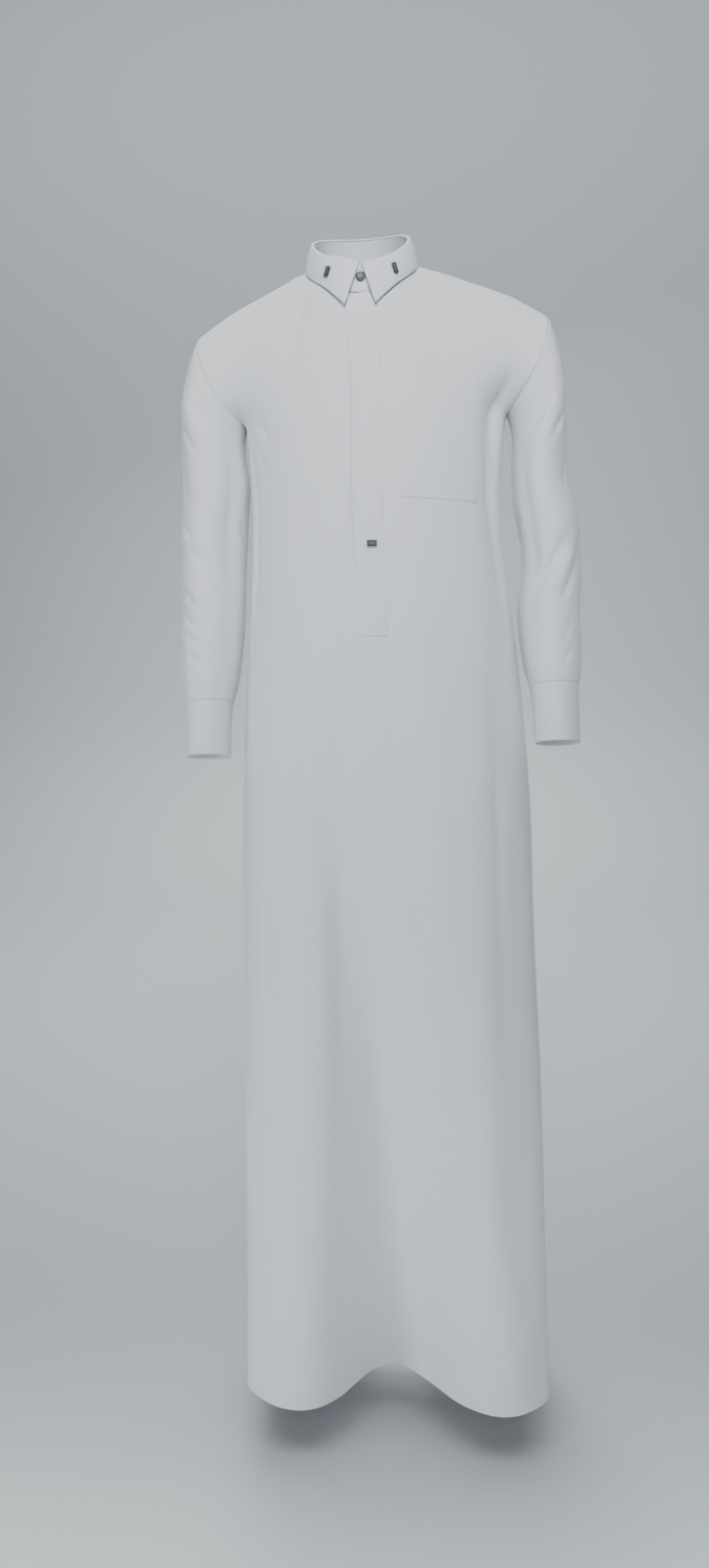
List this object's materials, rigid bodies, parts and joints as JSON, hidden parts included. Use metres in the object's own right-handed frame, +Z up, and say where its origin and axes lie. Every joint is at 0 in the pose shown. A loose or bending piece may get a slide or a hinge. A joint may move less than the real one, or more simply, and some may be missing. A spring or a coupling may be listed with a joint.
{
  "type": "thobe robe",
  "caption": "Long white ankle-length shirt robe in its worn hollow form, with a turned-down collar, covered front placket, chest pocket and cuffed long sleeves.",
  "frame": {"origin": "between the shoulders, level with the foot of the neck, where the wearer carries the robe", "axes": "+Z up, the front towards -Y, the wearer's left towards +X"},
  "size_m": [0.5183, 0.2689, 1.5306],
  "materials": {
    "white_cloth": "fine plain weave, soft and matt",
    "collar_cloth": "the same cloth over a stiff interlining, pressed smooth",
    "dark_enamel": "near black, polished"
  },
  "bodies": {
    "root": {"front": "white_cloth", "back": "white_cloth", "sleeve_left": "white_cloth", "sleeve_right": "white_cloth", "cuff_left": "white_cloth", "cuff_right": "white_cloth", "placket": "white_cloth", "placket_underlap": "white_cloth", "chest_pocket": "white_cloth", "collar_stand": "collar_cloth", "collar_fall": "collar_cloth", "neck_button": "dark_enamel", "placket_stud": "dark_enamel", "collar_stud_left": "dark_enamel", "collar_stud_right": "dark_enamel"}
  },
  "joints": []
}
